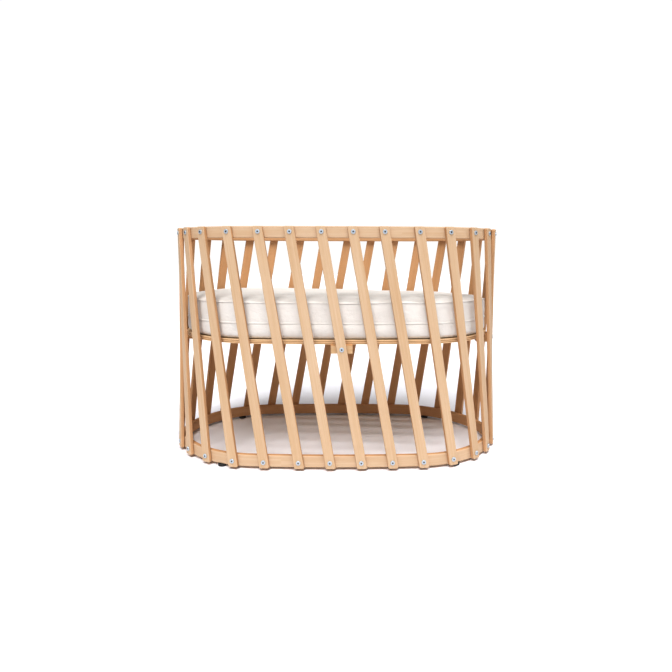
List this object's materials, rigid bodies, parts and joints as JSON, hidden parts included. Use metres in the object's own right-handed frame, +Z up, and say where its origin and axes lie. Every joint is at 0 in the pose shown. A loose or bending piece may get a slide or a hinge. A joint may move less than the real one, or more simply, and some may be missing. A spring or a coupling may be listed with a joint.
{
  "type": "baby crib",
  "caption": "Oval slatted baby crib: bent beech rails, leaning bolted slats, raised mattress board and a loose oval mattress in a zipped cotton cover.",
  "frame": {"origin": "on the floor under the middle of the oval, level with the glides' undersides", "axes": "+X along the crib's length, +Y from the front to the back, +Z up"},
  "size_m": [1.0698, 0.5356, 0.7175],
  "materials": {
    "rail_beech": "clear satin oil on bent beech",
    "slat_beech": "clear satin oil on beech",
    "cleat_beech": "clear satin oil on beech",
    "plywood": "birch plywood with its plies showing at the edge",
    "bolt_steel": "bright nickel plate",
    "insert_brass": "plain turned brass",
    "screw_steel": "zinc plate",
    "glide_plastic": "fine moulded texture",
    "foam": "open-cell foam",
    "cotton_cover": "off-white woven cotton",
    "zipper_tape": "woven tape with a covered coil zip"
  },
  "bodies": {
    "crib": {"top_rail_right": "rail_beech", "top_rail_left": "rail_beech", "bottom_rail_right": "rail_beech", "bottom_rail_left": "rail_beech", "slat_01": "slat_beech", "slat_02": "slat_beech", "slat_03": "slat_beech", "slat_04": "slat_beech", "slat_05": "slat_beech", "slat_06": "slat_beech", "slat_07": "slat_beech", "slat_08": "slat_beech", "slat_09": "slat_beech", "slat_10": "slat_beech", "slat_11": "slat_beech", "slat_12": "slat_beech", "slat_13": "slat_beech", "slat_14": "slat_beech", "slat_15": "slat_beech", "slat_16": "slat_beech", "slat_17": "slat_beech", "slat_18": "slat_beech", "slat_19": "slat_beech", "slat_20": "slat_beech", "slat_21": "slat_beech", "slat_22": "slat_beech", "slat_23": "slat_beech", "slat_24": "slat_beech", "slat_25": "slat_beech", "slat_26": "slat_beech", "slat_27": "slat_beech", "slat_28": "slat_beech", "slat_29": "slat_beech", "slat_30": "slat_beech", "cleat_1": "cleat_beech", "cleat_2": "cleat_beech", "cleat_3": "cleat_beech", "cleat_4": "cleat_beech", "mattress_board": "plywood", "rail_dowels": "cleat_beech", "head_bolts": "bolt_steel", "foot_bolts": "bolt_steel", "head_inserts": "insert_brass", "foot_inserts": "insert_brass", "cleat_bolts": "bolt_steel", "cleat_inserts": "insert_brass", "board_screws": "screw_steel", "glide_1": "glide_plastic", "glide_2": "glide_plastic", "glide_3": "glide_plastic", "glide_4": "glide_plastic", "glide_screws": "screw_steel"},
    "mattress": {"mattress_core": "foam", "mattress_cover_top": "cotton_cover", "mattress_zipper": "zipper_tape", "mattress_cover_base": "cotton_cover"}
  },
  "joints": [
    {"name": "mattress_lift", "type": "slide", "parent": "crib", "child": "mattress", "axis": [0, 0, 1], "range_m": [0, 0.35]}
  ]
}
